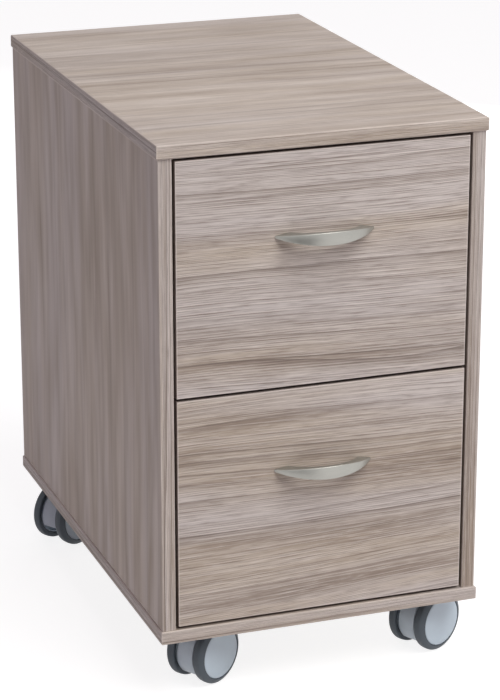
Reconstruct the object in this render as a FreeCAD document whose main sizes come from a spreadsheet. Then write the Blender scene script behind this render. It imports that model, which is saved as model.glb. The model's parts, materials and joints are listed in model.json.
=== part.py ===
import FreeCAD
import Part
import Sketcher
import math
import os

# A mobile pedestal: a board carcass with two filing drawers on four twin-wheel castors.
# Sizes are in millimetres. The origin is on the floor under the middle of the object,
# +X to the right, +Y to the back and +Z up. The drawers open towards -Y.

DIMENSIONS = {
    # carcass boards
    "width": 390,
    "depth": 600,
    "carcass_height": 585,
    "board": 16,
    "side_overhang": 2,
    "front_overhang": 2.5,
    "edge_round": 2,
    "arris": 0.8,
    # back board, held in grooves of the four boards round it
    "back_board": 8,
    "back_setback": 10,
    "back_groove": 6,
    "groove_play": 0.2,
    # wooden biscuits that join the side boards to the top and bottom boards
    "biscuit_length": 56,
    "biscuit_width": 23,
    "biscuit_thickness": 4,
    "biscuit_end": 10,
    "biscuit_inset": 90,
    "biscuit_play": 0.1,
    # drawer fronts
    "reveal": 3.3,
    "bottom_reveal": 3.2,
    # drawer boxes
    "box_board": 12,
    "box_height": 220,
    "box_length": 500,
    "box_lift": 14,
    "bottom_board": 4,
    "bottom_lift": 10,
    "bottom_groove": 5,
    # telescopic runners
    "runner_thickness": 12.7,
    "runner_height": 45,
    "runner_length": 500,
    "runner_setback": 3,
    "runner_lift": 70,
    "runner_wall": 1.2,
    "runner_flange": 10,
    "runner_lip": 2,
    "runner_play": 0.6,
    "ball_gap": 4.1,
    # bars for hanging files
    "rail_thickness": 2,
    "rail_drop": 14,
    "rail_tab": 3,
    "rail_overlap": 9,
    "rail_setback": 70,
    "rail_spacing": 330,
    "rail_play": 0.3,
    # bow handles
    "handle_length": 118,
    "handle_projection": 28,
    "handle_bow": 5.5,
    "handle_opening": 84,
    "handle_height": 15,
    "handle_end_height": 3,
    "handle_drop": 96,
    # castor wheels
    "wheel_dia": 75,
    "castor_width": 58,
    "wheel_bevel": 1.5,
    "wheel_face": 4,
    "axle_dia": 8,
    "axle_play": 0.05,
    "axle_fit": 0.02,
    "axle_end_play": 0.3,
    "wheel_end_play": 2,
    # castor housings
    "trail": 20,
    "housing_width": 22.5,
    "hood_dia": 67,
    "hood_lead_drop": 27,
    "hood_tail_drop": 10,
    # castor plates and kingpins
    "plate_side": 50,
    "plate_thickness": 2.5,
    "plate_corner": 6,
    "plate_clearance": 2.5,
    "kingpin_dia": 12,
    "kingpin_reach": 30,
    "kingpin_play": 0.05,
    "swivel_play": 0.3,
    # castor places and the way each one points at rest, in degrees
    "castor_inset_side": 55,
    "castor_inset_front": 57,
    "castor_inset_back": 65,
    "front_left_turn": 32,
    "front_right_turn": 27,
    "rear_left_turn": 210,
    "rear_right_turn": 205,
}

# Sketch rings start a little turned, so that no starting point lies on an axis.
RING_START = 0.3
# An edge this near to a plane lies on it.
PLANE_TOLERANCE = 0.001

doc = FreeCAD.newDocument("mobile_pedestal")
sheet = doc.addObject("Spreadsheet::Sheet", "dim")
for row, (alias, value) in enumerate(DIMENSIONS.items(), start=1):
    sheet.set("A%d" % row, alias)
    sheet.set("B%d" % row, str(value))
    sheet.setAlias("B%d" % row, alias)
doc.recompute()

# Heights above the floor
AXLE_HEIGHT = "dim.wheel_dia / 2"
PLATE_LOW = "(dim.wheel_dia + dim.plate_clearance)"
CARCASS_LOW = "(%s + dim.plate_thickness)" % PLATE_LOW
INNER_LOW = "(%s + dim.board)" % CARCASS_LOW
SIDE_HEIGHT = "(dim.carcass_height - 2 * dim.board)"
FRONT_HEIGHT = "((%s - dim.bottom_reveal - 2 * dim.reveal) / 2)" % SIDE_HEIGHT
LOWER_DRAWER = "(%s + dim.bottom_reveal)" % INNER_LOW
UPPER_DRAWER = "(%s + %s + dim.reveal)" % (LOWER_DRAWER, FRONT_HEIGHT)

# Distances to the left and right of the middle
SIDE_OUT = "(dim.width / 2 - dim.side_overhang)"
SIDE_IN = "(%s - dim.board)" % SIDE_OUT
SIDE_MID = "(%s - dim.board / 2)" % SIDE_OUT
FRONT_HALF = "(%s - dim.reveal)" % SIDE_IN
BOX_OUT = "(%s - dim.runner_thickness)" % SIDE_IN
BOX_IN = "(%s - dim.box_board)" % BOX_OUT

# Distances from front to back
PANEL_FRONT = "((dim.handle_projection - dim.front_overhang - dim.depth) / 2)"
DRAWER_FACE = "(%s + dim.front_overhang)" % PANEL_FRONT
SIDE_DEPTH = "(dim.depth - dim.front_overhang)"
BACK_FACE = "(dim.depth - dim.back_setback - dim.back_board)"

nodes = []


def place(item, x="0", y="0", z="0", turn="0"):
    item.setExpression("Placement.Base.x", x)
    item.setExpression("Placement.Base.y", y)
    item.setExpression("Placement.Base.z", z)
    item.setExpression("Placement.Rotation.Angle", turn)


def new_body(label, x="0", y="0", z="0"):
    body = doc.addObject("PartDesign::Body", label)
    body.Label = label
    place(body, x, y, z)
    return body


def keep(item):
    nodes.append(item)
    return item


def copy_of(label, source, x="0", y="0", z="0", turn="0"):
    link = doc.addObject("App::Link", label)
    link.Label = label
    link.LinkedObject = source
    place(link, x, y, z, turn)
    return link


def group(label, source, places):
    whole = doc.addObject("Part::Compound", label)
    whole.Label = label
    whole.Links = [copy_of("%s_%d" % (label, n), source, *where) for n, where in enumerate(places, 1)]
    return keep(whole)


def new_sketch(body, plane, lift="0"):
    sketch = body.newObject("Sketcher::SketchObject", body.Label + "_sketch")
    sketch.AttachmentSupport = [(item, "") for item in body.Origin.OriginFeatures if item.Role == plane]
    sketch.MapMode = "FlatFace"
    sketch.setExpression("AttachmentOffset.Base.z", lift)
    return sketch


def bind(sketch, constraint, size):
    index = sketch.addConstraint(constraint)
    sketch.setExpression("Constraints[%d]" % index, size)


def hold(sketch, item, end, start, x, y):
    # "0" lies on an axis of the sketch, and any other place is a distance from its origin.
    for kind, axis, begin, where in (("DistanceX", -2, start.x, x), ("DistanceY", -1, start.y, y)):
        if where == "0":
            sketch.addConstraint(Sketcher.Constraint("PointOnObject", item, end, axis))
        else:
            bind(sketch, Sketcher.Constraint(kind, -1, 1, item, end, begin), where)


def outline(sketch, corners):
    # A closed line through the corners, which starts as an even ring
    count = len(corners)
    angles = [RING_START + 2 * math.pi * n / count for n in range(count)]
    ring = [FreeCAD.Vector(math.cos(angle), math.sin(angle), 0) for angle in angles]
    first = sketch.GeometryCount
    for n in range(count):
        sketch.addGeometry(Part.LineSegment(ring[n], ring[(n + 1) % count]))
    for n in range(count):
        after = first + (n + 1) % count
        sketch.addConstraint(Sketcher.Constraint("Coincident", first + n, 2, after, 1))
    for n, (x, y) in enumerate(corners):
        hold(sketch, first + n, 1, ring[n], x, y)


def rectangle(sketch, left, low, right, high):
    outline(sketch, [(left, low), (right, low), (right, high), (left, high)])


def circle(sketch, x, y, dia):
    item = sketch.GeometryCount
    start = FreeCAD.Vector(1, 1, 0)
    sketch.addGeometry(Part.Circle(start, FreeCAD.Vector(0, 0, 1), 1))
    hold(sketch, item, 3, start, x, y)
    bind(sketch, Sketcher.Constraint("Diameter", item, 2), dia)


def extrude(kind, body, sketch, length, both_ways=False, turned=False):
    feature = body.newObject("PartDesign::" + kind, body.Label + "_" + kind.lower())
    feature.Profile = sketch
    feature.SideType = "Symmetric" if both_ways else "One side"
    feature.Reversed = turned
    feature.setExpression("Length", length)
    return feature


def pad(body, sketch, length, both_ways=False, turned=False):
    return extrude("Pad", body, sketch, length, both_ways, turned)


def pocket(body, sketch, length, both_ways=False, turned=False):
    return extrude("Pocket", body, sketch, length, both_ways, turned)


def revolve(body, sketch, axis):
    feature = body.newObject("PartDesign::Revolution", body.Label + "_turned")
    feature.Profile = sketch
    feature.ReferenceAxis = (sketch, [axis])
    feature.Angle = 360
    return feature


def round_edges(body, feature, radius, wanted):
    doc.recompute()
    names = ["Edge%d" % n for n, edge in enumerate(feature.Shape.Edges, 1) if wanted(edge.BoundBox)]
    fillet = body.newObject("PartDesign::Fillet", body.Label + "_round")
    fillet.Base = (feature, names)
    fillet.setExpression("Radius", radius)
    return fillet


def is_level(box):
    return box.ZLength < box.DiagonalLength / 2


def is_upright(box):
    return box.ZLength > box.DiagonalLength / 2


def on_front_plane(box):
    return box.YMax < PLANE_TOLERANCE


def is_front_upright(box):
    return is_upright(box) and on_front_plane(box)


def left_and_right(x):
    return ("-" + x, x)


# Biscuit places, measured from the front of the top and bottom boards
BISCUIT_ROWS = ("dim.biscuit_inset", "(%s - dim.biscuit_inset)" % BACK_FACE)
SLOT_HALF = "(dim.biscuit_length / 2 + dim.biscuit_play)"
SLOT_THICKNESS_HALF = "(dim.biscuit_thickness / 2 + dim.biscuit_play)"


def biscuit_slots(body, lift, middles, rows, faces_down):
    slots = new_sketch(body, "XY_Plane", lift)
    for x in middles:
        for y in rows:
            left = "%s - %s" % (x, SLOT_THICKNESS_HALF)
            right = "%s + %s" % (x, SLOT_THICKNESS_HALF)
            rectangle(slots, left, "%s - %s" % (y, SLOT_HALF), right, "%s + %s" % (y, SLOT_HALF))
    pocket(body, slots, "dim.biscuit_width / 2 + dim.biscuit_play", turned=faces_down)


def level_board(label, low, inner_face):
    body = new_body(label, "0", PANEL_FRONT, low)
    face = new_sketch(body, "XY_Plane")
    rectangle(face, "-dim.width / 2", "0", "dim.width / 2", "dim.depth")
    round_edges(body, pad(body, face, "dim.board"), "dim.edge_round", is_level)
    faces_down = inner_face == "0"
    biscuit_slots(body, inner_face, left_and_right(SIDE_MID), BISCUIT_ROWS, faces_down)
    groove = new_sketch(body, "XY_Plane", inner_face)
    groove_end = "(%s + dim.back_groove)" % SIDE_IN
    groove_low = "%s - dim.groove_play" % BACK_FACE
    groove_high = "%s + dim.back_board + dim.groove_play" % BACK_FACE
    rectangle(groove, "-" + groove_end, groove_low, groove_end, groove_high)
    pocket(body, groove, "dim.back_groove", turned=faces_down)
    return keep(body)


def side_board(label, hand):
    body = new_body(label, "%s * %s" % (hand, SIDE_OUT), DRAWER_FACE, INNER_LOW)
    inward = "-%s * " % hand
    end = new_sketch(body, "XY_Plane")
    rectangle(end, "0", "0", inward + "dim.board", SIDE_DEPTH)
    round_edges(body, pad(body, end, SIDE_HEIGHT), "dim.arris", is_front_upright)
    rows = [y + " - dim.front_overhang" for y in BISCUIT_ROWS]
    for lift, faces_down in (("0", True), (SIDE_HEIGHT, False)):
        biscuit_slots(body, lift, [inward + "dim.board / 2"], rows, faces_down)
    groove = new_sketch(body, "XY_Plane")
    groove_low = "%s - dim.front_overhang - dim.groove_play" % BACK_FACE
    groove_high = "%s - dim.front_overhang + dim.back_board + dim.groove_play" % BACK_FACE
    groove_bed = inward + "(dim.board - dim.back_groove)"
    rectangle(groove, groove_bed, groove_low, inward + "dim.board", groove_high)
    pocket(body, groove, SIDE_HEIGHT, turned=True)
    return keep(body)


def back_board():
    reach = "(dim.back_groove - dim.groove_play)"
    body = new_body("back_panel", "0", "%s + %s" % (PANEL_FRONT, BACK_FACE), "%s - %s" % (INNER_LOW, reach))
    half = "(%s + %s)" % (SIDE_IN, reach)
    face = new_sketch(body, "XZ_Plane")
    rectangle(face, "-" + half, "0", half, "%s + 2 * %s" % (SIDE_HEIGHT, reach))
    pad(body, face, "dim.back_board", turned=True)
    return keep(body)


def wood_biscuits():
    biscuit = new_body("biscuit")
    face = new_sketch(biscuit, "YZ_Plane")
    tip = "(dim.biscuit_length / 2)"
    flat = "(dim.biscuit_length / 2 - dim.biscuit_end)"
    edge = "(dim.biscuit_width / 2)"
    outline(face, [
        ("-" + tip, "0"), ("-" + flat, "-" + edge), (flat, "-" + edge),
        (tip, "0"), (flat, edge), ("-" + flat, edge),
    ])
    pad(biscuit, face, "dim.biscuit_thickness", both_ways=True)
    places = []
    for x in left_and_right(SIDE_MID):
        for y in BISCUIT_ROWS:
            for z in (INNER_LOW, "%s + %s" % (INNER_LOW, SIDE_HEIGHT)):
                places.append((x, "%s + %s" % (PANEL_FRONT, y), z))
    return group("wood_biscuits", biscuit, places)


# Runner channels, seen from the front: x runs from the side board to the drawer, z from the middle
RUNNER_FRONT = "(%s + dim.board + dim.runner_setback)" % DRAWER_FACE
CHANNEL_STEP = "(dim.runner_wall + dim.ball_gap)"


def channel(name, web, web_in, flange, steps_in, lipped=True):
    # The lips at the ends of the flanges hold the balls in.
    body = new_body(name)
    half = "(dim.runner_height / 2 - %d * %s)" % (steps_in, CHANNEL_STEP)
    bed = "(%s - dim.runner_wall)" % half
    lip = "(%s - dim.runner_lip)" % bed
    lip_back = "(%s - dim.runner_wall)" % flange
    upper = [(web_in, bed), (flange, bed)]
    if lipped:
        upper = [(web_in, bed), (lip_back, bed), (lip_back, lip), (flange, lip)]
    upper += [(flange, half), (web, half)]
    lower = [(x, "-" + z) for x, z in reversed(upper)]
    section = new_sketch(body, "XZ_Plane")
    outline(section, lower + upper)
    pad(body, section, "dim.runner_length", turned=True)
    return body


def runner_pair(label, section, drawer):
    middle = "%s + dim.box_lift + dim.runner_lift" % drawer
    places = [
        ("-" + SIDE_IN, RUNNER_FRONT, middle),
        (SIDE_IN, RUNNER_FRONT + " + dim.runner_length", middle, "180"),
    ]
    return group(label, section, places)


# Drawer pieces are drawn in the drawer's own frame: the middle of its front face, at its lower edge
BOX_FRONT = "dim.board"
BOX_BACK = "(dim.board + dim.box_length - dim.box_board)"
HANDLE_HEIGHT = "(%s - dim.handle_drop)" % FRONT_HEIGHT
GROOVE_LOW = "(dim.bottom_lift - dim.groove_play)"
GROOVE_HIGH = "(dim.bottom_lift + dim.bottom_board + dim.groove_play)"


def drawer_front():
    body = new_body("drawer_front")
    face = new_sketch(body, "XZ_Plane")
    rectangle(face, "-" + FRONT_HALF, "0", FRONT_HALF, FRONT_HEIGHT)
    round_edges(body, pad(body, face, "dim.board", turned=True), "dim.arris", on_front_plane)
    return body


def box_cross_board(name, groove_face):
    # The board between the box sides, with the groove for the bottom in one face
    body = new_body(name)
    face = new_sketch(body, "XZ_Plane")
    rectangle(face, "-" + BOX_IN, "0", BOX_IN, "dim.box_height")
    pad(body, face, "dim.box_board", turned=True)
    groove = new_sketch(body, "YZ_Plane", "-" + BOX_IN)
    far = "(dim.box_board - dim.bottom_groove)" if groove_face == "back" else "0"
    near = "dim.box_board" if groove_face == "back" else "dim.bottom_groove"
    rectangle(groove, far, GROOVE_LOW, near, GROOVE_HIGH)
    pocket(body, groove, "2 * " + BOX_IN, turned=True)
    return body


def box_side(name, hand):
    body = new_body(name)
    end = new_sketch(body, "XZ_Plane")
    outer = "%s * %s" % (hand, BOX_OUT)
    inner = "%s * %s" % (hand, BOX_IN)
    bed = "%s * (%s + dim.bottom_groove)" % (hand, BOX_IN)
    outline(end, [
        (outer, "0"), (inner, "0"), (inner, GROOVE_LOW), (bed, GROOVE_LOW),
        (bed, GROOVE_HIGH), (inner, GROOVE_HIGH), (inner, "dim.box_height"), (outer, "dim.box_height"),
    ])
    pad(body, end, "dim.box_length", turned=True)
    return body


def box_bottom():
    body = new_body("box_bottom")
    reach = "(dim.bottom_groove - dim.groove_play)"
    half = "(%s + %s)" % (BOX_IN, reach)
    face = new_sketch(body, "XY_Plane", "dim.bottom_lift")
    front = "dim.box_board - %s" % reach
    back = "dim.box_length - dim.box_board + %s" % reach
    rectangle(face, "-" + half, front, half, back)
    pad(body, face, "dim.bottom_board")
    return body


def file_rail():
    body = new_body("file_rail")
    face = new_sketch(body, "XZ_Plane")
    bar = "(%s - dim.rail_play)" % BOX_IN
    tab = "(%s + dim.rail_overlap)" % BOX_IN
    outline(face, [
        ("-" + bar, "-dim.rail_drop"), (bar, "-dim.rail_drop"), (bar, "0"), (tab, "0"),
        (tab, "dim.rail_tab"), ("-" + tab, "dim.rail_tab"), ("-" + tab, "0"), ("-" + bar, "0"),
    ])
    pad(body, face, "dim.rail_thickness", turned=True)
    return body


def arc_radius(half_chord, rise):
    return "((%s * %s + %s * %s) / (2 * %s))" % (half_chord, half_chord, rise, rise, rise)


def rod(name, radius, length, x="0", y="0", z="0", along_y=False):
    item = doc.addObject("Part::Cylinder", name)
    if along_y:
        item.Placement.Rotation = FreeCAD.Rotation(FreeCAD.Vector(1, 0, 0), 90)
    item.setExpression("Radius", radius)
    item.setExpression("Height", length)
    item.setExpression("Placement.Base.x", x)
    item.setExpression("Placement.Base.y", y)
    item.setExpression("Placement.Base.z", z)
    return item


def combine(kind, name, base, tool):
    item = doc.addObject("Part::" + kind, name)
    item.Base = base
    item.Tool = tool
    return item


def bow_handle():
    # In plan the bow lies between two arcs that end on the drawer front, so each end is a solid foot.
    # In front view its upper and lower edges are arcs too, which taper the bow towards its feet.
    half_length = "(dim.handle_length / 2)"
    half_opening = "(dim.handle_opening / 2)"
    opening_rise = "(dim.handle_projection - dim.handle_bow)"
    outer = arc_radius(half_length, "dim.handle_projection")
    inner = arc_radius(half_opening, opening_rise)
    low = "-dim.handle_height / 2"
    bow = rod("bow_outside", outer, "dim.handle_height", "0", outer + " - dim.handle_projection", low)
    gap_middle = "%s - %s" % (inner, opening_rise)
    gap = rod("bow_inside", inner, "2 * dim.handle_height", "0", gap_middle, "2 * " + low)
    taper = "((dim.handle_height - dim.handle_end_height) / 2)"
    edge = arc_radius(half_length, taper)
    edge_middle = "(%s - dim.handle_height / 2)" % edge
    upper = rod("upper_edge", edge, "dim.handle_projection", "0", "0", "-" + edge_middle, along_y=True)
    lower = rod("lower_edge", edge, "dim.handle_projection", "0", "0", edge_middle, along_y=True)
    lens = combine("Common", "bow_front_view", upper, lower)
    return combine("Common", "bow_handle", combine("Cut", "bow_plan", bow, gap), lens)


def drawer_pieces():
    # Each piece with its place in the drawer's frame
    inside = "dim.box_lift"
    return {
        "front": (drawer_front(), "0", "0"),
        "inner_front": (box_cross_board("box_front", "back"), BOX_FRONT, inside),
        "left_side": (box_side("box_left_side", "-1"), BOX_FRONT, inside),
        "right_side": (box_side("box_right_side", "1"), BOX_FRONT, inside),
        "back": (box_cross_board("box_back", "front"), BOX_BACK, inside),
        "bottom": (box_bottom(), BOX_FRONT, inside),
        "handle": (bow_handle(), "0", HANDLE_HEIGHT),
    }


def drawer(name, low, pieces, rail, inner_channel):
    for piece, (source, y, z) in pieces.items():
        label = "%s_drawer_%s" % (name, piece)
        keep(copy_of(label, source, "0", "%s + %s" % (DRAWER_FACE, y), "%s + %s" % (low, z)))
    first_rail = "%s + %s + dim.rail_setback" % (DRAWER_FACE, BOX_FRONT)
    rail_height = "%s + dim.box_lift + dim.box_height" % low
    rail_places = [("0", first_rail, rail_height), ("0", first_rail + " + dim.rail_spacing", rail_height)]
    group("%s_file_rails" % name, rail, rail_places)
    runner_pair("%s_runner_inner" % name, inner_channel, low)


# Castor pieces are drawn in the castor's own frame: on the floor under the kingpin, +X to the axle


def castor_housing():
    body = new_body("castor_housing")
    hood = new_sketch(body, "XZ_Plane")
    circle(hood, "dim.trail", AXLE_HEIGHT, "dim.hood_dia")
    pad(body, hood, "dim.housing_width", both_ways=True)
    # The hood reaches low at its leading side, and ends in a slanted lower edge.
    mouth = new_sketch(body, "XZ_Plane")
    lead = "dim.trail - dim.hood_dia"
    tail = "dim.trail + dim.hood_dia"
    below = "%s - dim.hood_dia" % AXLE_HEIGHT
    slope = "(dim.hood_lead_drop - dim.hood_tail_drop) / 2"
    outline(mouth, [
        (lead, below), (tail, below), (tail, "%s - dim.hood_tail_drop + %s" % (AXLE_HEIGHT, slope)),
        (lead, "%s - dim.hood_lead_drop - %s" % (AXLE_HEIGHT, slope)),
    ])
    pocket(body, mouth, "2 * dim.housing_width", both_ways=True)
    socket = new_sketch(body, "XY_Plane", PLATE_LOW)
    circle(socket, "0", "0", "dim.kingpin_dia + 2 * dim.kingpin_play")
    pocket(body, socket, "dim.kingpin_reach + dim.swivel_play")
    bore = new_sketch(body, "XZ_Plane")
    circle(bore, "dim.trail", AXLE_HEIGHT, "dim.axle_dia + 2 * dim.axle_fit")
    pocket(body, bore, "2 * dim.housing_width", both_ways=True)
    return body


# The wheels, from the middle of the castor outwards along the axle
WHEEL_OUT = "(dim.castor_width / 2)"
BORE_END = "(%s - dim.wheel_face)" % WHEEL_OUT


def castor_axle():
    body = new_body("castor_axle")
    section = new_sketch(body, "XZ_Plane")
    circle(section, "dim.trail", AXLE_HEIGHT, "dim.axle_dia")
    pad(body, section, "2 * (%s - dim.axle_end_play)" % BORE_END, both_ways=True)
    return body


def castor_wheel():
    # The wheel turns on the end of the axle, and shows no bore on its outer face.
    body = new_body("castor_wheel")
    half = new_sketch(body, "XY_Plane")
    tread = "dim.wheel_dia / 2"
    bore = "dim.axle_dia / 2 + dim.axle_play"
    back = "dim.housing_width / 2 + dim.wheel_end_play"
    outline(half, [
        (WHEEL_OUT, "0"), (WHEEL_OUT, tread + " - dim.wheel_bevel"), (WHEEL_OUT + " - dim.wheel_bevel", tread),
        (back, tread), (back, bore), (BORE_END, bore), (BORE_END, "0"),
    ])
    revolve(body, half, "H_Axis")
    return body


def castor_plate():
    body = new_body("castor_plate")
    face = new_sketch(body, "XY_Plane", PLATE_LOW)
    half = "dim.plate_side / 2"
    corner = "(dim.plate_side / 2 - dim.plate_corner)"
    outline(face, [
        ("-" + corner, "-" + half), (corner, "-" + half), (half, "-" + corner), (half, corner),
        (corner, half), ("-" + corner, half), ("-" + half, corner), ("-" + half, "-" + corner),
    ])
    pad(body, face, "dim.plate_thickness")
    return body


def castor_kingpin():
    # A plain pin, welded to the underside of its plate
    return rod("castor_kingpin", "dim.kingpin_dia / 2", "dim.kingpin_reach")


CASTORS = {
    "front_left": ("-1", "dim.castor_inset_front", "dim.front_left_turn"),
    "front_right": ("1", "dim.castor_inset_front", "dim.front_right_turn"),
    "rear_left": ("-1", "(dim.depth - dim.castor_inset_back)", "dim.rear_left_turn"),
    "rear_right": ("1", "(dim.depth - dim.castor_inset_back)", "dim.rear_right_turn"),
}


def castors():
    housing = castor_housing()
    axle = castor_axle()
    wheel = castor_wheel()
    swivels = []
    for name, (hand, inset, turn) in CASTORS.items():
        x = "(%s * (dim.width / 2 - dim.castor_inset_side))" % hand
        y = "(%s + %s)" % (PANEL_FRONT, inset)
        swivels.append((x, y))
        keep(copy_of(name + "_castor_housing", housing, x, y, "0", turn))
        keep(copy_of(name + "_castor_axle", axle, x, y, "0", turn))
        wheel_x = "%s + dim.trail * cos(%s)" % (x, turn)
        wheel_y = "%s + dim.trail * sin(%s)" % (y, turn)
        for side, quarter in (("left", " + 90"), ("right", " - 90")):
            label = "%s_castor_%s_wheel" % (name, side)
            keep(copy_of(label, wheel, wheel_x, wheel_y, AXLE_HEIGHT, turn + quarter))
    group("castor_plates", castor_plate(), swivels)
    pin_end = "%s - dim.kingpin_reach" % PLATE_LOW
    group("castor_kingpins", castor_kingpin(), [(x, y, pin_end) for x, y in swivels])


level_board("top_panel", "%s + dim.carcass_height - dim.board" % CARCASS_LOW, "0")
level_board("bottom_panel", CARCASS_LOW, "dim.board")
side_board("left_side_panel", "-1")
side_board("right_side_panel", "1")
back_board()
wood_biscuits()

middle_web = "(dim.runner_wall + dim.runner_play)"
middle_bed = "(%s + dim.runner_wall)" % middle_web
inner_bed = "(dim.runner_thickness - dim.runner_wall)"
outer_channel = channel("outer_channel", "0", "dim.runner_wall", "dim.runner_flange", 0)
middle_channel = channel("middle_channel", middle_web, middle_bed, "dim.runner_flange", 1)
inner_flange = middle_bed + " + dim.runner_play"
inner_channel = channel("inner_channel", "dim.runner_thickness", inner_bed, inner_flange, 2, lipped=False)

pieces = drawer_pieces()
rail = file_rail()
for name, low in (("upper", UPPER_DRAWER), ("lower", LOWER_DRAWER)):
    runner_pair("%s_runner_outer" % name, outer_channel, low)
    runner_pair("%s_runner_middle" % name, middle_channel, low)
    drawer(name, low, pieces, rail, inner_channel)

castors()
doc.recompute()

for item in doc.Objects:
    if "Invalid" in item.State or "Error" in item.State:
        raise RuntimeError("%s did not build: %s" % (item.Label, item.State))
    if item.TypeId == "PartDesign::Pocket" and item.Shape.Volume >= item.BaseFeature.Shape.Volume:
        raise RuntimeError("%s cuts nothing" % item.Label)

shapes = {item.Label: Part.getShape(item) for item in nodes}
for label, shape in shapes.items():
    if shape.isNull() or not shape.isValid():
        raise RuntimeError("%s has no valid shape" % label)

os.makedirs("parts", exist_ok=True)
for label, shape in shapes.items():
    shape.exportStep("parts/%s.step" % label)
print("%d nodes" % len(shapes))
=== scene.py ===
import json
from math import pi, radians

import bpy
from mathutils import Matrix, Vector


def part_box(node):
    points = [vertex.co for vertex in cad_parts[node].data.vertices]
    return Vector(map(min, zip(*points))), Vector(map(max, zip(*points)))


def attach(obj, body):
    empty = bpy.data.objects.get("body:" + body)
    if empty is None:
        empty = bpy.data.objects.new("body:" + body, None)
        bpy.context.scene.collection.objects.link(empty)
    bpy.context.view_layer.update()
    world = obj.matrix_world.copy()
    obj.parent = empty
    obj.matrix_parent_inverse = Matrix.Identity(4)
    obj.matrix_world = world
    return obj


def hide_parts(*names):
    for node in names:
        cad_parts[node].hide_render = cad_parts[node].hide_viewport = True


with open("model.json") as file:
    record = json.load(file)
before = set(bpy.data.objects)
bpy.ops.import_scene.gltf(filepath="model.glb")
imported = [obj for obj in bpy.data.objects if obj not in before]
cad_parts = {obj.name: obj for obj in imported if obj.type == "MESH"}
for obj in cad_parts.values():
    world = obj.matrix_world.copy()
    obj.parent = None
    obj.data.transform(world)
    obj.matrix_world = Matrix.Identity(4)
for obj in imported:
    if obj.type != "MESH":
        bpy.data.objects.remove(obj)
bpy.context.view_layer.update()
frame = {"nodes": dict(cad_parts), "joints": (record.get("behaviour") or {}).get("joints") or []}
nodes = frame["nodes"]
joints = {joint["name"]: joint for joint in frame["joints"]}
print("frame: %d nodes, %d joints" % (len(nodes), len(joints)))


def paint(red, green, blue):
    # screen levels 0 to 255, as linear light
    levels = [level / 255 for level in (red, green, blue)]
    return tuple(v / 12.92 if v <= 0.04045 else ((v + 0.055) / 1.055) ** 2.4 for v in levels) + (1.0,)


class Wire:
    # an output socket that adds Math nodes when it is used in an expression
    def __init__(self, finish, socket):
        self.finish = finish
        self.socket = socket

    def math(self, operation, first, second=0.0):
        return self.finish.add("ShaderNodeMath", {"operation": operation}, {0: first, 1: second})

    def __add__(self, other):
        return self.math("ADD", self, other)

    def __sub__(self, other):
        return self.math("SUBTRACT", self, other)

    def __rsub__(self, other):
        return self.math("SUBTRACT", other, self)

    def __mul__(self, other):
        return self.math("MULTIPLY", self, other)

    def __pow__(self, other):
        return self.math("POWER", self, other)

    __radd__ = __add__
    __rmul__ = __mul__

    def swing(self):
        # a noise value, which lies about a half, as a swing about zero
        return self - 0.5

    def fraction(self):
        return self.math("FRACT", self)

    def whole(self):
        return self.math("FLOOR", self)

    def size(self):
        return self.math("ABSOLUTE", self)

    def largest(self, other):
        return self.math("MAXIMUM", self, other)

    def above(self, limit):
        return self.math("GREATER_THAN", self, limit)

    def clamped(self):
        return self.finish.add("ShaderNodeClamp", {}, {0: self})

    def other(self, output):
        return Wire(self.finish, self.socket.node.outputs[output])


class NodeTree:
    def __init__(self, tree):
        self.tree = tree

    def add(self, kind, settings=None, sockets=None, output=0):
        node = self.tree.nodes.new(kind)
        for name, value in (settings or {}).items():
            if name == "stops":
                ramp = node.color_ramp
                ramp.elements[0].position = value[0][0]
                ramp.elements[1].position = value[-1][0]
                for position, colour in value[1:-1]:
                    ramp.elements.new(position)
                for element, (position, colour) in zip(ramp.elements, value):
                    element.color = colour
            else:
                setattr(node, name, value)
        for name, value in (sockets or {}).items():
            if isinstance(value, Wire):
                self.tree.links.new(value.socket, node.inputs[name])
            else:
                node.inputs[name].default_value = value
        return Wire(self, node.outputs[output])

    def noise(self, x, y, z, detail=2.0, rough=0.5):
        spot = self.add("ShaderNodeCombineXYZ", {}, {0: x, 1: y, 2: z})
        sockets = {"Vector": spot, "Scale": 1.0, "Detail": detail, "Roughness": rough}
        return self.add("ShaderNodeTexNoise", {}, sockets)

    def mix(self, amount, first, second):
        return self.add("ShaderNodeMix", {"data_type": "RGBA"}, {0: amount, 6: first, 7: second}, output=2)

    def whitened(self, shader, white, share):
        # the camera, metal and glass see this much of a plain white in place of the shader
        rays = self.add("ShaderNodeLightPath", output="Is Camera Ray")
        seen = rays.largest(rays.other("Is Glossy Ray")).largest(rays.other("Is Transmission Ray")) * share
        choice = self.add("ShaderNodeMixShader", {}, {0: seen, 1: shader, 2: white})
        output = next(node for node in self.tree.nodes if node.type.startswith("OUTPUT"))
        self.tree.links.new(choice.socket, output.inputs["Surface"])


class Finish(NodeTree):
    # a material; what is the same all over it is set on the shader's own sockets
    def __init__(self, name, **fixed):
        self.material = bpy.data.materials.new(name)
        self.material.use_nodes = True
        super().__init__(self.material.node_tree)
        self.shader = self.tree.nodes["Principled BSDF"]
        for socket, value in fixed.items():
            self.shader.inputs[socket.replace("_", " ")].default_value = value

    def feed(self, socket, wire):
        self.tree.links.new(wire.socket, self.shader.inputs[socket])

    def split(self, vector):
        parts = self.add("ShaderNodeSeparateXYZ", {}, {0: vector})
        return {"x": parts, "y": parts.other("Y"), "z": parts.other("Z")}

    def place(self):
        return self.split(self.add("ShaderNodeTexCoord", output="Object"))

    def speckle(self, spot, perMetre, detail=2.0, rough=0.5):
        return self.noise(*(spot[axis] * times for axis, times in zip("xyz", perMetre)), detail, rough)

    def bump(self, height, strength, distance):
        sockets = {"Height": height, "Strength": strength, "Distance": distance}
        self.feed("Normal", self.add("ShaderNodeBump", {}, sockets))


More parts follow.
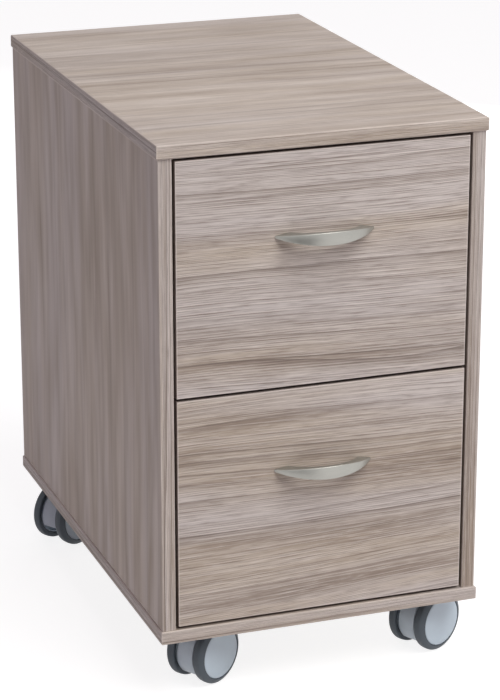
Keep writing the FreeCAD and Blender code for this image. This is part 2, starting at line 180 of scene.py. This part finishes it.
# woodgrain melamine: broad bands, growth lines with one sharp edge, and short fibres
# along and across count repeats per metre, and apart sets one pattern off from another
woodgrain = {
    "gloss": {"IOR": 1.45, "Specular_IOR_Level": 0.14},
    "roughness": 0.47, "fibreRoughness": 0.25, "lineRoughness": 0.1,
    "bump": 0.18, "bumpDepth": 0.0004, "lineDip": 0.6,
    "tones": [
        (0.24, paint(138, 124, 110)), (0.38, paint(170, 156, 142)), (0.50, paint(197, 185, 171)),
        (0.60, paint(192, 181, 171)), (0.76, paint(158, 145, 134)),
    ],
    "toneMiddle": 0.5,
    "middle": paint(180, 167, 156),
    "cool": paint(205, 198, 195),
    "tan": paint(160, 144, 128),
    "line": paint(100, 86, 80),
    "dark": paint(120, 105, 96),
    "pale": paint(232, 224, 217),
    "facingLimit": 0.7,
    "edgeSqueeze": 3.0, "edgeCrisp": 1.3, "edgeCool": 1.1,
    "paintedHighlightWidth": 0.0016, "paintedHighlightOnEdge": 0.16, "paintedHighlightOnFace": 0.22,
    "sway": {"along": 1.3, "across": 2.6, "apart": 0.0, "detail": 1.0}, "swayDepth": 0.055,
    "ripple": {"along": 4.0, "across": 14.0, "apart": 3.0}, "rippleDepth": 0.005,
    "band": {"along": 0.9, "across": 16.0, "apart": 7.0, "detail": 3.0, "rough": 0.6},
    "coolPatch": {"along": 1.3, "across": 15.0, "apart": 11.0},
    "coolFrom": 0.62, "coolReach": 0.2, "coolEdge": 6.0, "coolMost": 0.85,
    "haze": {"along": 1.0, "across": 4.0, "apart": 0.0}, "hazeMost": 0.8,
    "streak": {"along": 5.0, "across": 42.0, "apart": 27.0}, "streakEdge": 4.0, "streakPale": 0.52,
    "fibre": {"along": 34.0, "across": 430.0, "apart": 23.0, "detail": 3.0, "rough": 0.6}, "fibreEdge": 5.5,
    "fibreLow": 0.48, "fibreDark": 0.46, "fibreHigh": 0.53, "fibrePale": 0.40,
    "ringDrift": {"along": 0.7, "across": 7.0}, "ringEdge": 1.5, "brokenApart": 2.0,
    "boldLines": {
        "perMetre": 24.0, "drift": 3.0, "share": 0.75, "apart": 13.0, "along": 3.6, "broken": 2.8,
    },
    "fineLines": {
        "perMetre": 64.0, "drift": 7.0, "share": 0.62, "apart": 17.0, "along": 1.5, "broken": 2.2,
    },
    "hairLines": [
        {"perMetre": 230.0, "drift": 14.0, "share": 0.72, "apart": 30.0, "along": 15.0, "broken": 5.0},
        {"perMetre": 440.0, "drift": 24.0, "share": 0.90, "apart": 35.0, "along": 15.0, "broken": 5.0},
    ],
    "boldShade": {"power": 2.5, "least": 0.10, "perCrisp": 0.14},
    "boldLine": {"power": 14.0, "least": 0.10, "perCrisp": 0.52},
    "fineShade": {"power": 1.6, "least": 0.0, "perCrisp": 0.30},
    "fineLine": {"power": 8.0, "least": 0.06, "perCrisp": 0.68},
    "hairPale": {"power": 3.0, "least": 0.0, "perCrisp": 0.50},
    "hairDark": {"power": 3.0, "least": 0.0, "perCrisp": 0.66},
}


class WoodFinish(Finish):
    # the three axes run along the grain, across it and through the board
    def __init__(self, name, axes, seed, crisp, cool):
        look = woodgrain
        super().__init__(name, **look["gloss"])
        along, across, through = axes
        self.seed = seed
        self.spot = self.place()
        self.normal = self.split(self.add("ShaderNodeTexCoord", output="Normal"))
        self.broad = self.facing(through)
        self.crisp = look["edgeCrisp"] + self.broad * (crisp - look["edgeCrisp"])
        self.cool = look["edgeCool"] + self.broad * (cool - look["edgeCool"])
        # on the ends of the grain the edge band runs lengthways round the board
        end = self.facing(along)
        depth = self.spot[through] * look["edgeSqueeze"]
        self.lengthways = self.spot[along] * (1 - end) + self.spot[across] * end
        self.crossways = (self.spot[across] + depth) * (1 - end) + (self.spot[along] + depth) * end
        sway = self.grain(**look["sway"]).swing() * look["swayDepth"]
        ripple = self.grain(**look["ripple"]).swing() * look["rippleDepth"]
        self.crossways = self.crossways + (sway + ripple) * self.broad

    def facing(self, axis):
        return self.normal[axis].size().above(woodgrain["facingLimit"])

    def grain(self, along, across, apart, detail=2.0, rough=0.5):
        spot = (self.lengthways * along, self.crossways * across, self.seed + apart)
        return self.noise(*spot, detail, rough)

    def growthLines(self, perMetre, drift, share, apart, along, broken):
        # how far across its ring each point is, and how strongly that ring shows there
        look = woodgrain
        rings = self.crossways * perMetre + self.grain(apart=apart, **look["ringDrift"]) * drift
        sockets = {"W": rings.whole() + self.seed}
        strength = self.add("ShaderNodeTexWhiteNoise", {"noise_dimensions": "1D"}, sockets)
        here = self.grain(along, perMetre, apart + look["brokenApart"]).swing() * broken
        return rings.fraction(), ((strength + here - 1.0 + share) * look["ringEdge"]).clamped()

    def drawn(self, ring, shown, power, least, perCrisp):
        return ring ** power * shown * (least + perCrisp * self.crisp)

    def strip(self, board):
        # painted highlight: a thin pale strip round each face, along the rounded edges where light catches
        low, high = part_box(board)
        strip = 0.0
        for n, axis in enumerate("xyz"):
            reach = (high[n] - low[n]) / 2 - woodgrain["paintedHighlightWidth"]
            nearRim = (self.spot[axis] - (high[n] + low[n]) / 2).size().above(reach)
            strip = nearRim * (1 - self.facing(axis)) + strip
        return strip.clamped()


def woodFinish(name, board, axes, seed, crisp, cool, bands, streaks, tone=0.0, paintedGapShade=0.0):
    look = woodgrain
    wood = WoodFinish(name, axes, seed, crisp, cool)
    tones = wood.grain(**look["band"]).swing() * bands + (look["toneMiddle"] + tone)
    coolPatch = wood.grain(**look["coolPatch"]) - look["coolFrom"] + look["coolReach"] * wood.cool
    haze = wood.grain(**look["haze"]) * (look["hazeMost"] - look["hazeMost"] * wood.crisp)
    streak = wood.grain(**look["streak"]).swing() * look["streakEdge"]
    fibre = wood.grain(**look["fibre"])
    fibreDark = ((look["fibreLow"] - fibre) * look["fibreEdge"]).clamped() * look["fibreDark"]
    fibrePale = ((fibre - look["fibreHigh"]) * look["fibreEdge"]).clamped() * look["fibrePale"]
    boldLines = wood.growthLines(**look["boldLines"])
    fineLines = wood.growthLines(**look["fineLines"])
    layers = [
        ((coolPatch * look["coolEdge"]).clamped() * look["coolMost"], "cool"),
        (haze, "middle"),
        (wood.drawn(*boldLines, **look["boldShade"]), "tan"),
        ((0 - streak).clamped() * streaks, "tan"),
        (streak.clamped() * (look["streakPale"] * streaks), "pale"),
        (fibreDark * wood.crisp, "dark"),
        (fibrePale * wood.crisp, "pale"),
    ]
    for hairLines in look["hairLines"]:
        # each short hair line is dark on one side and pale on the other
        ring, shown = wood.growthLines(**hairLines)
        layers.append((wood.drawn(1 - ring, shown, **look["hairPale"]), "pale"))
        layers.append((wood.drawn(ring, shown, **look["hairDark"]), "dark"))
    layers += [
        (wood.drawn(*fineLines, **look["fineShade"]), "tan"),
        (wood.drawn(*fineLines, **look["fineLine"]), "line"),
        (wood.drawn(*boldLines, **look["boldLine"]), "line"),
        # painted highlight along the rims of every face, stronger on the broad faces
        (wood.strip(board) * (look["paintedHighlightOnEdge"] + wood.broad * look["paintedHighlightOnFace"]), "pale"),
        # painted shade: the narrow edges of the drawer fronts, which face the gaps, are darkened towards
        # the line colour so the gaps between the parts read darker
        ((1 - wood.broad) * paintedGapShade, "line"),
    ]
    colour = wood.add("ShaderNodeValToRGB", {"stops": look["tones"]}, {0: tones})
    for amount, over in layers:
        colour = wood.mix(amount, colour, look[over])
    ring, shown = boldLines
    line = ring ** look["boldLine"]["power"] * shown
    uneven = fibre.swing() * look["fibreRoughness"] + line * look["lineRoughness"]
    wood.feed("Base Color", colour)
    wood.feed("Roughness", look["roughness"] + uneven)
    wood.bump(fibre - line * look["lineDip"], look["bump"], look["bumpDepth"])
    return wood.material


# metals: brush lines along one axis, and a slight cloudiness
metalLook = {
    "acrossLines": 900.0, "alongLines": 25.0, "lineRough": 0.6, "cloud": 40.0, "detail": 3.0,
    "lineShare": 0.5, "cloudShare": 0.5, "wornFrom": 0.3, "lineRoughness": 0.16, "cloudRoughness": 0.12,
    "bump": 0.08, "bumpDepth": 0.0001,
}


def metalFinish(name, colour, worn, roughness, brushed, metallic=1.0):
    look = metalLook
    finish = Finish(name, Metallic=metallic)
    spot = finish.place()
    perMetre = [look["alongLines"] if axis == brushed else look["acrossLines"] for axis in "xyz"]
    lines = finish.speckle(spot, perMetre, look["detail"], look["lineRough"])
    cloud = finish.speckle(spot, [look["cloud"]] * 3, look["detail"])
    wear = lines * look["lineShare"] + cloud * look["cloudShare"] - look["wornFrom"]
    finish.feed("Base Color", finish.mix(wear.clamped(), colour, worn))
    uneven = lines.swing() * look["lineRoughness"] + cloud.swing() * look["cloudRoughness"]
    finish.feed("Roughness", roughness + uneven)
    finish.bump(lines, look["bump"], look["bumpDepth"])
    return finish.material


# moulded plastic: a fine pebbled skin, and a slight cloudiness
plasticLook = {
    "refraction": 1.5, "skinRough": 0.6, "cloud": 55.0, "cloudDetail": 4.0, "cloudRough": 0.6,
    "dustFrom": 0.35, "dustEdge": 1.6, "dustMost": 0.5, "cloudRoughness": 0.2,
    "bump": 0.10, "bumpDepth": 0.0002,
}


def plasticFinish(name, colour, dusty, roughness, pebble):
    look = plasticLook
    finish = Finish(name, IOR=look["refraction"])
    spot = finish.place()
    skin = finish.speckle(spot, [pebble] * 3, rough=look["skinRough"])
    cloud = finish.speckle(spot, [look["cloud"]] * 3, look["cloudDetail"], look["cloudRough"])
    dust = ((cloud - look["dustFrom"]) * look["dustEdge"]).clamped() * look["dustMost"]
    finish.feed("Base Color", finish.mix(dust, colour, dusty))
    finish.feed("Roughness", roughness + cloud.swing() * look["cloudRoughness"])
    finish.bump(skin, look["bump"], look["bumpDepth"])
    return finish.material


# coated board: pale decor paper with a faint woven emboss
coatingLook = {
    "refraction": 1.45, "stretch": 0.1, "cloud": 18.0, "cloudDetail": 4.0, "cloudRough": 0.6,
    "threadShare": 0.4, "cloudShare": 0.5, "mottleFrom": 0.35, "roughness": 0.5, "cloudRoughness": 0.15,
    "bump": 0.12, "bumpDepth": 0.0002,
}


def coatedBoardFinish(name, colour, mottled, weave):
    look = coatingLook
    finish = Finish(name, IOR=look["refraction"])
    spot = finish.place()
    drawnOut = weave * look["stretch"]
    lengthways = finish.speckle(spot, [weave, drawnOut, weave])
    crossways = finish.speckle(spot, [drawnOut, weave, drawnOut])
    cloud = finish.speckle(spot, [look["cloud"]] * 3, look["cloudDetail"], look["cloudRough"])
    threads = lengthways + crossways
    mottle = threads * look["threadShare"] + cloud * look["cloudShare"] - look["mottleFrom"]
    finish.feed("Base Color", finish.mix(mottle.clamped(), colour, mottled))
    finish.feed("Roughness", look["roughness"] + cloud.swing() * look["cloudRoughness"])
    finish.bump(threads, look["bump"], look["bumpDepth"])
    return finish.material


# each board's grain: the axes along, across and through it, and how strong each part of its pattern is
boardGrain = {
    "top_panel": {
        "axes": "xyz", "seed": 39.7, "crisp": 0.57, "cool": 0.35, "bands": 1.0, "streaks": 0.70,
        # painted light: the top's tone is raised so the top reads lighter, as light from above makes it
        "tone": 0.03,
    },
    "bottom_panel": {
        "axes": "xyz", "seed": 9.1, "crisp": 0.80, "cool": 0.6, "bands": 1.2, "streaks": 0.25,
        "tone": -0.08,
    },
    "left_side_panel": {
        "axes": "zyx", "seed": 571.0, "crisp": 0.08, "cool": 1.0, "bands": 0.6, "streaks": 0.80,
    },
    "right_side_panel": {
        "axes": "zyx", "seed": 656.4, "crisp": 0.40, "cool": 1.0, "bands": 0.8, "streaks": 0.60,
        "tone": -0.14,
    },
    "back_panel": {
        "axes": "zxy", "seed": 31.9, "crisp": 0.35, "cool": 0.9, "bands": 0.9, "streaks": 0.60,
    },
    "upper_drawer_front": {
        "axes": "xzy", "seed": 339.6, "crisp": 1.0, "cool": 1.35, "bands": 1.75, "streaks": 0.18,
        "paintedGapShade": 0.6,
    },
    "lower_drawer_front": {
        "axes": "xzy", "seed": 346.0, "crisp": 0.92, "cool": 0.7, "bands": 1.8, "streaks": 0.12,
        "tone": -0.01, "paintedGapShade": 0.6,
    },
}
biscuitGrain = {"axes": "yzx", "seed": 55.0, "crisp": 0.5, "cool": 0.0, "bands": 1.0, "streaks": 0.4}
for board, grainLook in boardGrain.items():
    nodes[board].data.materials[0] = woodFinish(board + "_woodgrain", board, **grainLook)

boxGrey = coatedBoardFinish(
    "drawer_box_coating", paint(206, 204, 200), mottled=paint(193, 190, 186), weave=900.0)
hardboard = coatedBoardFinish(
    "drawer_bottom_coating", paint(212, 210, 206), mottled=paint(200, 198, 193), weave=500.0)
zinc = metalFinish(
    "runner_zinc", paint(196, 199, 203), worn=paint(168, 172, 178), roughness=0.30, brushed="y")
railSteel = metalFinish(
    "file_rail_steel", paint(176, 178, 182), worn=paint(156, 158, 163), roughness=0.38, brushed="x",
    metallic=0.55)
darkZinc = metalFinish(
    "castor_plate_zinc", paint(96, 98, 102), worn=paint(72, 74, 78), roughness=0.40, brushed="x")
brightSteel = metalFinish(
    "castor_pin_steel", paint(188, 190, 192), worn=paint(160, 162, 166), roughness=0.28, brushed="z")
nickel = metalFinish(
    "handle_nickel", paint(176, 175, 169), worn=paint(157, 157, 152), roughness=0.40, brushed="x",
    metallic=0.9)
hubGrey = plasticFinish(
    "castor_hub_plastic", paint(198, 214, 225), dusty=paint(186, 202, 213), roughness=0.40, pebble=1600.0)
# the hoods are the hub's plastic set a little darker: painted shade for the shade they sit in between the
# wheels and under the board
shadedHousingGrey = plasticFinish(
    "castor_housing_plastic", paint(192, 206, 216), dusty=paint(180, 194, 204), roughness=0.36,
    pebble=1600.0)
tyreGrey = plasticFinish(
    "castor_tyre_rubber", paint(73, 82, 90), dusty=paint(88, 96, 103), roughness=0.55, pebble=2200.0)
biscuitWood = woodFinish("biscuit_wood", "wood_biscuits", **biscuitGrain)

# the finish of each CAD node, by the end of its name
nodeFinishes = {
    "_drawer_bottom": hardboard,
    "_drawer_inner_front": boxGrey, "_drawer_back": boxGrey,
    "_drawer_left_side": boxGrey, "_drawer_right_side": boxGrey,
    "_runner_outer": zinc, "_runner_middle": zinc, "_runner_inner": zinc,
    "_file_rails": railSteel,
    "_drawer_handle": nickel,
    "castor_plates": darkZinc,
    "castor_kingpins": brightSteel, "_castor_axle": brightSteel,
    "_castor_housing": shadedHousingGrey,
    "_wheel": tyreGrey,
    "wood_biscuits": biscuitWood,
}
for name, item in nodes.items():
    for ending, finish in nodeFinishes.items():
        if name.endswith(ending):
            item.data.materials[0] = finish
print("finishes: %d" % len(bpy.data.materials))


# limits that the modelling steps share
modelling = {
    "startSize": 0.001,
    "sameSpot": 1e-6,  # points this close become one
    "flatAngle": 0.5,  # faces within this many degrees are joined
    "sameWay": 0.99, "facingUp": 0.9,  # how nearly a face looks along a direction
}


def deselectAll():
    bpy.ops.object.select_all(action="DESELECT")


def pickPiece(piece):
    deselectAll()
    piece.select_set(True)
    bpy.context.view_layer.objects.active = piece


def startPiece(name, addPrimitive, **size):
    deselectAll()
    addPrimitive(**size)
    piece = bpy.context.object
    piece.name = name
    bpy.ops.object.transform_apply(location=True, rotation=True, scale=True)
    return piece


def pickFaces(piece, wanted):
    bpy.ops.object.mode_set(mode="EDIT")
    bpy.ops.mesh.select_mode(type="FACE")
    bpy.ops.mesh.select_all(action="DESELECT")
    bpy.ops.object.mode_set(mode="OBJECT")
    for face in piece.data.polygons:
        face.select = wanted(face)
    bpy.ops.object.mode_set(mode="EDIT")


def finishEdges(piece, width, segments, sharpest):
    # edges sharper than this many degrees are eased
    pickPiece(piece)
    bevel = piece.modifiers.new("edges", "BEVEL")
    bevel.width = width
    bevel.segments = segments
    bevel.limit_method = "ANGLE"
    bevel.angle_limit = radians(sharpest)
    bpy.ops.object.modifier_apply(modifier=bevel.name)
    bpy.ops.object.shade_smooth_by_angle(angle=radians(sharpest))


def turnedPiece(name, profile, steps):
    # a profile of (radius, height) points, extruded point by point and spun round the Z axis
    piece = startPiece(name, bpy.ops.mesh.primitive_plane_add, size=modelling["startSize"])
    bpy.ops.object.mode_set(mode="EDIT")
    bpy.ops.mesh.select_all(action="SELECT")
    bpy.ops.mesh.merge(type="CENTER")
    here = Vector((0, 0, 0))
    for n, (radius, height) in enumerate(profile):
        step = Vector((radius, 0, height)) - here
        if n == 0:
            bpy.ops.transform.translate(value=step)
        else:
            bpy.ops.mesh.extrude_region_move(TRANSFORM_OT_translate={"value": step})
        here += step
    bpy.ops.mesh.select_all(action="SELECT")
    bpy.ops.mesh.spin(steps=steps, angle=2 * pi, center=(0, 0, 0), axis=(0, 0, 1))
    bpy.ops.mesh.select_all(action="SELECT")
    bpy.ops.mesh.remove_doubles(threshold=modelling["sameSpot"])
    bpy.ops.mesh.normals_make_consistent(inside=False)
    bpy.ops.object.mode_set(mode="OBJECT")
    return piece


def copyOf(source, name, where):
    piece = bpy.data.objects.new(name, source.data.copy())
    bpy.context.scene.collection.objects.link(piece)
    piece.data.transform(where)
    return piece


def cadCopy(node, name):
    # a CAD mesh is loose triangles, so its copy is merged and its flat faces are joined
    piece = copyOf(nodes[node], name, Matrix())
    pickPiece(piece)
    bpy.ops.object.mode_set(mode="EDIT")
    bpy.ops.mesh.select_all(action="SELECT")
    bpy.ops.mesh.remove_doubles(threshold=modelling["sameSpot"])
    bpy.ops.mesh.dissolve_limited(angle_limit=radians(modelling["flatAngle"]))
    bpy.ops.object.mode_set(mode="OBJECT")
    return piece


def turnedTo(place, outwards):
    # moves a piece from the origin to its place, with its Z axis pointing outwards
    return Matrix.Translation(place) @ Vector(outwards).to_track_quat("Z", "Y").to_matrix().to_4x4()


def dress(piece, material, body):
    piece.data.materials.clear()
    piece.data.materials.append(material)
    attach(piece, body)


# bow handles: the CAD bow with its edges eased
handleEdges = {"width": 0.0006, "segments": 3, "sharpest": 35}
for drawer in ("upper", "lower"):
    node = drawer + "_drawer_handle"
    handle = cadCopy(node, drawer + "_bow_handle")
    finishEdges(handle, **handleEdges)
    dress(handle, nickel, drawer + "_drawer")
    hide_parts(node)
print("handles")


# castor wheels, drawn with the axle along Z and the middle of the castor at 0
wheelShape = {
    "outside": 0.0290, "dome": 0.0013, "discRadius": 0.0303, "discRim": 0.0009, "domeSteps": 7,
    "web": 0.0215, "rimWall": 0.0020, "rimInside": 0.0158, "bossRadius": 0.0080, "bossEnd": 0.01335,
    "tyreRadius": 0.0375, "tyreInside": 0.0145, "tyreSeat": 0.0305, "tyreLip": 0.0325, "treadEase": 0.0006,
    "treadStart": 0.0186, "treadEnd": 0.0235, "shoulder": ((0.0354, 0.0253), (0.0330, 0.0269)),
    "shoulderEnd": 0.0281, "steps": 72,
    "hubEdges": {"width": 0.0004, "segments": 2, "sharpest": 35},
    "tyreEdges": {"width": 0.0011, "segments": 3, "sharpest": 20},
}


def hubDisc(name):
    w = wheelShape
    crown = w["outside"] - w["dome"]
    rim = w["discRadius"] - w["discRim"]
    profile = []
    for n in range(w["domeSteps"] + 1):
        share = n / w["domeSteps"]
        profile.append((rim * share, w["outside"] - w["dome"] * share ** 2))
    profile += [
        (w["discRadius"], crown - w["discRim"]), (w["discRadius"], w["rimInside"]),
        (w["discRadius"] - w["rimWall"], w["rimInside"]), (w["discRadius"] - w["rimWall"], w["web"]),
        (w["bossRadius"], w["web"]), (w["bossRadius"], w["bossEnd"]), (0, w["bossEnd"]),
    ]
    piece = turnedPiece(name, profile, w["steps"])
    finishEdges(piece, **w["hubEdges"])
    return piece


def tyreRing(name):
    w = wheelShape
    profile = [
        (w["tyreSeat"], w["rimInside"]), (w["tyreLip"], w["tyreInside"]),
        (w["tyreRadius"] - w["treadEase"], w["tyreInside"]),
        (w["tyreRadius"], w["treadStart"]), (w["tyreRadius"], w["treadEnd"]), *w["shoulder"],
        (w["tyreSeat"], w["shoulderEnd"]), (w["tyreSeat"], w["rimInside"]),
    ]
    piece = turnedPiece(name, profile, w["steps"])
    finishEdges(piece, **w["tyreEdges"])
    return piece


hubPattern = hubDisc("hub_pattern")
tyrePattern = tyreRing("tyre_pattern")
castors = ("front_left", "front_right", "rear_left", "rear_right")
for castor in castors:
    for side, hand in (("left", 1), ("right", -1)):
        body = "%s_castor_%s_wheel" % (castor, side)
        spin = joints[body + "_spin"]
        where = turnedTo(spin["pos_m"], Vector(spin["axis"]) * hand)
        hub = copyOf(hubPattern, body + "_hub", where)
        tyre = copyOf(tyrePattern, body + "_tyre", where)
        dress(hub, hubGrey, body)
        dress(tyre, tyreGrey, body)
        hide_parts(body)
for pattern in (hubPattern, tyrePattern):
    bpy.data.objects.remove(pattern)
print("castor wheels")


# castor hoods: the CAD housing with eased edges and a hollow mouth
hoodShape = {"wall": 0.0022, "hollow": 0.0115, "edges": {"width": 0.0010, "segments": 3, "sharpest": 40}}
for castor in castors:
    node = castor + "_castor_housing"
    hood = cadCopy(node, castor + "_castor_hood")
    mouth = min(hood.data.polygons, key=lambda face: face.normal.z).normal.copy()
    pickFaces(hood, lambda face: face.normal.dot(mouth) > modelling["sameWay"])
    bpy.ops.mesh.inset(thickness=hoodShape["wall"])
    bpy.ops.mesh.extrude_region_move(TRANSFORM_OT_translate={"value": -mouth * hoodShape["hollow"]})
    bpy.ops.object.mode_set(mode="OBJECT")
    finishEdges(hood, **hoodShape["edges"])
    dress(hood, shadedHousingGrey, castor + "_castor")
    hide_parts(node)
print("castor hoods")


# screws: pan heads with a socket, four under each castor plate, and in the drawers for handles and runners
screwShape = {
    "radius": 0.0036, "height": 0.0022, "socket": 0.0018, "depth": 0.0013, "sides": 36,
    "edges": {"width": 0.0006, "segments": 3, "sharpest": 35},
}


def screwHead(name):
    s = screwShape
    size = {"vertices": s["sides"], "radius": s["radius"], "depth": s["height"]}
    piece = startPiece(name, bpy.ops.mesh.primitive_cylinder_add, **size)
    pickFaces(piece, lambda face: face.normal.z > modelling["facingUp"])
    bpy.ops.mesh.inset(thickness=s["radius"] - s["socket"])
    bpy.ops.mesh.extrude_region_move(TRANSFORM_OT_translate={"value": (0, 0, -s["depth"])})
    bpy.ops.object.mode_set(mode="OBJECT")
    finishEdges(piece, **s["edges"])
    return piece


def addScrew(name, foot, outwards, body):
    where = turnedTo(Vector(foot) + Vector(outwards) * screwShape["height"] / 2, outwards)
    dress(copyOf(screwPattern, name, where), brightSteel, body)


screwPattern = screwHead("screw_pattern")
plateScrews = {"reach": 0.0180, "corners": ((-1, -1), (1, -1), (1, 1), (-1, 1))}
for castor in castors:
    middle = Vector(joints[castor + "_castor_swivel"]["pos_m"])
    middle.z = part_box("castor_plates")[0].z
    for n, corner in enumerate(plateScrews["corners"], 1):
        foot = middle + Vector((*corner, 0)) * plateScrews["reach"]
        addScrew("%s_plate_screw_%d" % (castor, n), foot, (0, 0, -1), "carcass")
drawerScrews = {"handlePitch": 0.096, "runnerWall": 0.0012, "alongRunner": (0.035, 0.250, 0.465)}
for drawer in ("upper", "lower"):
    body = drawer + "_drawer"
    handleLow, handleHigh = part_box(drawer + "_drawer_handle")
    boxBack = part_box(drawer + "_drawer_inner_front")[1].y
    runnerLow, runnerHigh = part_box(drawer + "_runner_inner")
    for side, hand in (("left", -1), ("right", 1)):
        foot = (hand * drawerScrews["handlePitch"] / 2, boxBack, (handleLow.z + handleHigh.z) / 2)
        addScrew("%s_handle_screw_%s" % (drawer, side), foot, (0, 1, 0), body)
        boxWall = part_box("%s_drawer_%s_side" % (drawer, side))[side == "right"].x
        web = boxWall + hand * drawerScrews["runnerWall"]
        for n, along in enumerate(drawerScrews["alongRunner"], 1):
            foot = (web, runnerLow.y + along, (runnerLow.z + runnerHigh.z) / 2)
            addScrew("%s_runner_screw_%s_%d" % (drawer, side, n), foot, (hand, 0, 0), body)
bpy.data.objects.remove(screwPattern)
print("screws")


# studio: white surround with an even fill, and a pale floor
studio = {
    "fill": 0.200, "fillColour": (0.98, 0.755, 0.91, 1.0),
    "white": (1.0, 1.0, 1.0, 1.0), "whiteStrength": 1.0,
    "floorSize": 60.0, "floorColour": (0.9, 0.9, 0.9, 1.0), "floorRoughness": 0.9,
    "floorShare": 0.60, "floorGlow": 1.4,
    "cardPlace": (-1.45, -2.1, 0.004), "cardSize": (2.5, 2.4), "cardColour": (0.02, 0.02, 0.02, 1.0),
}
# a soft key from the front right, and a low light behind,
# which reaches the back and the right side but not the top
lamps = {
    "key_light": {
        "energy": 104.5, "colour": (1.0, 1.0, 0.97), "size": (2.4, 2.4), "place": (0.75, -1.95, 3.15),
    },
    "rear_light": {
        "energy": 26.0, "colour": (1.0, 1.0, 1.0), "size": (2.4, 0.6), "place": (1.7, 2.0, 0.35),
    },
}
lampAim = (0.0, 0.0, 0.35)


def addWorld():
    world = bpy.data.worlds.new("studio_surround")
    world.use_nodes = True
    bpy.context.scene.world = world
    surround = NodeTree(world.node_tree)
    fillSockets = {"Color": studio["fillColour"], "Strength": studio["fill"]}
    whiteSockets = {"Color": studio["white"], "Strength": studio["whiteStrength"]}
    fill = surround.add("ShaderNodeBackground", {}, fillSockets)
    white = surround.add("ShaderNodeBackground", {}, whiteSockets)
    surround.whitened(fill, white, share=1.0)


def addFloor():
    floor = startPiece("studio_floor", bpy.ops.mesh.primitive_plane_add, size=studio["floorSize"])
    finish = Finish("studio_floor", Base_Color=studio["floorColour"], Roughness=studio["floorRoughness"])
    glow = finish.add("ShaderNodeEmission", {}, {"Color": studio["white"], "Strength": studio["floorGlow"]})
    finish.whitened(Wire(finish, finish.shader.outputs[0]), glow, studio["floorShare"])
    floor.data.materials.append(finish.material)


def addCard():
    # a dark card on the floor to the left of the camera, which the handles mirror
    card = startPiece("dark_card", bpy.ops.mesh.primitive_plane_add, size=1.0)
    wide = Matrix.Diagonal((*studio["cardSize"], 1.0, 1.0))
    card.data.transform(Matrix.Translation(studio["cardPlace"]) @ wide)
    card.data.materials.append(Finish("dark_card", Base_Color=studio["cardColour"]).material)
    card.visible_camera = False
    card.visible_shadow = False


def addLamp(name, energy, colour, size, place):
    bpy.ops.object.light_add(type="AREA", location=place)
    lamp = bpy.context.object
    lamp.name = name
    lamp.data.energy = energy
    lamp.data.color = colour
    lamp.data.shape = "RECTANGLE"
    lamp.data.size, lamp.data.size_y = size
    lamp.rotation_euler = (Vector(lampAim) - Vector(place)).to_track_quat("-Z", "Y").to_euler()
    lamp.visible_camera = False


addWorld()
addFloor()
addCard()
for lampName, lampLook in lamps.items():
    addLamp(lampName, **lampLook)

cameraView = {"place": (-1.050, -2.968, 1.390), "azimuth": 19.73, "downTilt": 18.75, "lens": 139.5}
bpy.ops.object.camera_add(location=cameraView["place"])
camera = bpy.context.object
camera.rotation_euler = (radians(90 - cameraView["downTilt"]), 0, radians(-cameraView["azimuth"]))
camera.data.lens = cameraView["lens"]
bpy.context.scene.camera = camera
bpy.context.scene.view_settings.view_transform = "Standard"
print("studio and camera")
